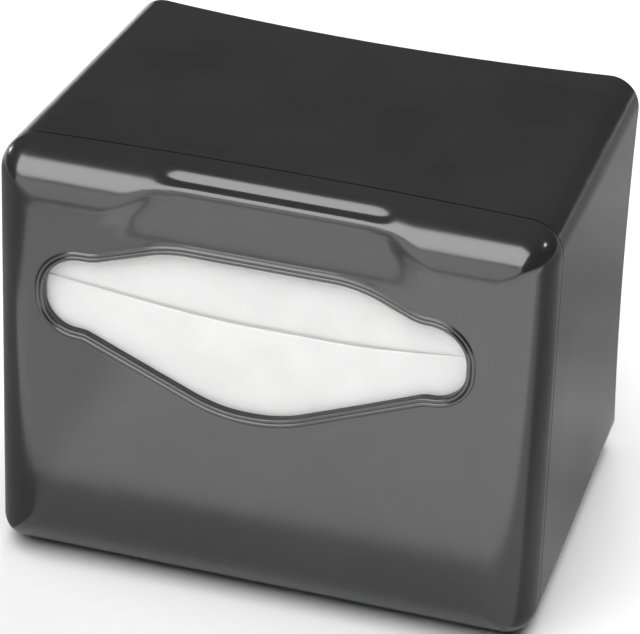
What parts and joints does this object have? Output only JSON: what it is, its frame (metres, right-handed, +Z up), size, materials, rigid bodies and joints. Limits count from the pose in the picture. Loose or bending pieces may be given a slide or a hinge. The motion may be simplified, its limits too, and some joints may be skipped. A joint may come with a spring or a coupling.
{
  "type": "tabletop napkin dispenser",
  "caption": "Glossy dark plastic tabletop napkin dispenser with a hinged faceplate, a bow-tie dispensing opening and a spring-loaded pusher behind the napkins.",
  "frame": {"origin": "centre of the bounding box in X and Y, at the level that the rubber feet stand on", "axes": "+X to the right seen from the front, +Y from the faceplate to the rear wall, +Z up"},
  "size_m": [0.197, 0.1468, 0.1635],
  "materials": {
    "smoke_plastic": "glossy dark smoke",
    "paper": "soft embossed tissue",
    "zinc_steel": "zinc plated sheet",
    "black_plastic": "fine matt texture",
    "nylon": "natural nylon",
    "spring_steel": "drawn spring wire and strip",
    "bright_steel": "bright zinc",
    "rubber": "matt"
  },
  "bodies": {
    "base": {"housing": "smoke_plastic", "napkin_stack": "paper", "front_napkin": "paper", "napkin_tray": "zinc_steel", "base_weight": "zinc_steel", "spring_seat": "black_plastic", "napkin_guide_left": "black_plastic", "napkin_guide_right": "black_plastic", "pusher_spring": "spring_steel", "catch_spring": "spring_steel", "hinge_pin_left": "bright_steel", "hinge_pin_right": "bright_steel", "foot_screws": "bright_steel", "seat_screws": "bright_steel", "catch_rivets": "bright_steel", "guide_rivets": "bright_steel", "foot_front_left": "rubber", "foot_front_right": "rubber", "foot_rear_left": "rubber", "foot_rear_right": "rubber"},
    "faceplate": {"faceplate": "smoke_plastic"},
    "pusher": {"pusher_plate": "black_plastic", "spring_retainer": "black_plastic", "pusher_glide_left": "nylon", "pusher_glide_right": "nylon", "glide_screws": "bright_steel", "retainer_screw": "bright_steel"}
  },
  "joints": [
    {"name": "faceplate_hinge", "type": "hinge", "parent": "base", "child": "faceplate", "pos_m": [0, -0.0622, 0.0125], "axis": [1, 0, 0], "range_deg": [0, 90]},
    {"name": "pusher_slide", "type": "slide", "parent": "base", "child": "pusher", "axis": [0, 1, 0], "range_m": [0, 0.04], "stiffness_N_per_m": 60, "springref_m": -0.06, "deforming": ["pusher_spring"]}
  ]
}
